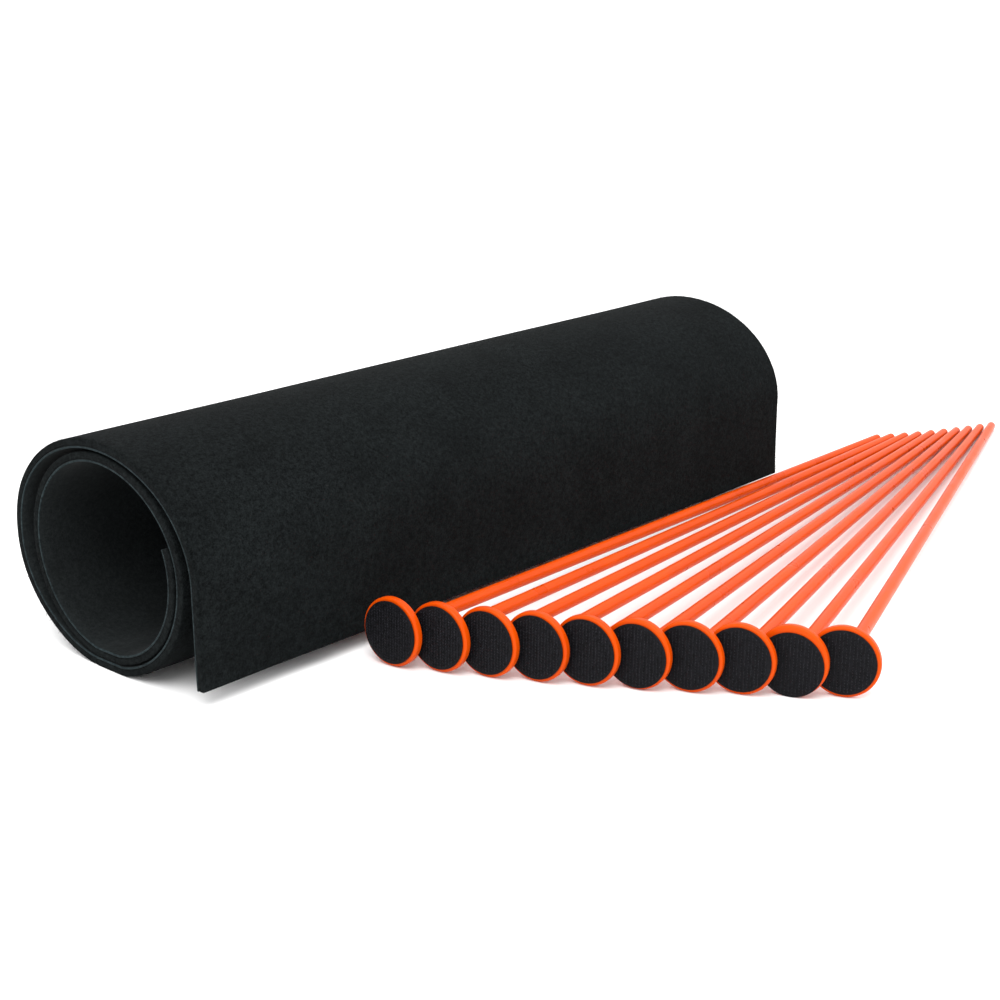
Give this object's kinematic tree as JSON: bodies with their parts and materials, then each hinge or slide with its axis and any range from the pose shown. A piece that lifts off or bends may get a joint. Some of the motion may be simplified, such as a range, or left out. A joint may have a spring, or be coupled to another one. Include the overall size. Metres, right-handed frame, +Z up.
{
  "type": "rolled loop mat with hook-headed sticks",
  "caption": "Loosely rolled black felt mat with a liftable outer lap, and a fan of slim orange sticks whose flat round heads carry hook-tape discs.",
  "frame": {"origin": "centre of the whole layout's footprint, on the surface that it lies on", "axes": "+X along the roll from its near mouth to its far end, +Y to the roll's left, away from the sticks, +Z up"},
  "size_m": [0.471, 0.2486, 0.0779],
  "materials": {
    "pile": "black looped felt pile",
    "backing": "smooth dark grey backing skin",
    "plastic": "satin orange injection-moulded plastic",
    "hook": "black hook tape",
    "adhesive": "pressure-sensitive adhesive film"
  },
  "bodies": {
    "mat_roll": {"mat_pile_roll": "pile", "mat_backing_roll": "backing"},
    "mat_lap": {"mat_pile_outer_lap": "pile", "mat_backing_outer_lap": "backing"},
    "stick_01": {"rod_01": "plastic", "head_01": "plastic", "pad_adhesive_01": "adhesive", "hook_pad_01": "hook"},
    "stick_02": {"rod_02": "plastic", "head_02": "plastic", "pad_adhesive_02": "adhesive", "hook_pad_02": "hook"},
    "stick_03": {"rod_03": "plastic", "head_03": "plastic", "pad_adhesive_03": "adhesive", "hook_pad_03": "hook"},
    "stick_04": {"rod_04": "plastic", "head_04": "plastic", "pad_adhesive_04": "adhesive", "hook_pad_04": "hook"},
    "stick_05": {"rod_05": "plastic", "head_05": "plastic", "pad_adhesive_05": "adhesive", "hook_pad_05": "hook"},
    "stick_06": {"rod_06": "plastic", "head_06": "plastic", "pad_adhesive_06": "adhesive", "hook_pad_06": "hook"},
    "stick_07": {"rod_07": "plastic", "head_07": "plastic", "pad_adhesive_07": "adhesive", "hook_pad_07": "hook"},
    "stick_08": {"rod_08": "plastic", "head_08": "plastic", "pad_adhesive_08": "adhesive", "hook_pad_08": "hook"},
    "stick_09": {"rod_09": "plastic", "head_09": "plastic", "pad_adhesive_09": "adhesive", "hook_pad_09": "hook"},
    "stick_10": {"rod_10": "plastic", "head_10": "plastic", "pad_adhesive_10": "adhesive", "hook_pad_10": "hook"}
  },
  "joints": [
    {"name": "lap_hinge", "type": "hinge", "parent": "mat_roll", "child": "mat_lap", "pos_m": [-0.07555, 0.12426, 0.0388], "axis": [-1, 0, 0], "range_deg": [0, 50]},
    {"name": "stick_01_lift", "type": "slide", "parent": "mat_roll", "child": "stick_01", "axis": [0, 0, 1], "range_m": [0, 0.12]},
    {"name": "stick_02_lift", "type": "slide", "parent": "mat_roll", "child": "stick_02", "axis": [0, 0, 1], "range_m": [0, 0.12]},
    {"name": "stick_03_lift", "type": "slide", "parent": "mat_roll", "child": "stick_03", "axis": [0, 0, 1], "range_m": [0, 0.12]},
    {"name": "stick_04_lift", "type": "slide", "parent": "mat_roll", "child": "stick_04", "axis": [0, 0, 1], "range_m": [0, 0.12]},
    {"name": "stick_05_lift", "type": "slide", "parent": "mat_roll", "child": "stick_05", "axis": [0, 0, 1], "range_m": [0, 0.12]},
    {"name": "stick_06_lift", "type": "slide", "parent": "mat_roll", "child": "stick_06", "axis": [0, 0, 1], "range_m": [0, 0.12]},
    {"name": "stick_07_lift", "type": "slide", "parent": "mat_roll", "child": "stick_07", "axis": [0, 0, 1], "range_m": [0, 0.12]},
    {"name": "stick_08_lift", "type": "slide", "parent": "mat_roll", "child": "stick_08", "axis": [0, 0, 1], "range_m": [0, 0.12]},
    {"name": "stick_09_lift", "type": "slide", "parent": "mat_roll", "child": "stick_09", "axis": [0, 0, 1], "range_m": [0, 0.12]},
    {"name": "stick_10_lift", "type": "slide", "parent": "mat_roll", "child": "stick_10", "axis": [0, 0, 1], "range_m": [0, 0.12]}
  ]
}
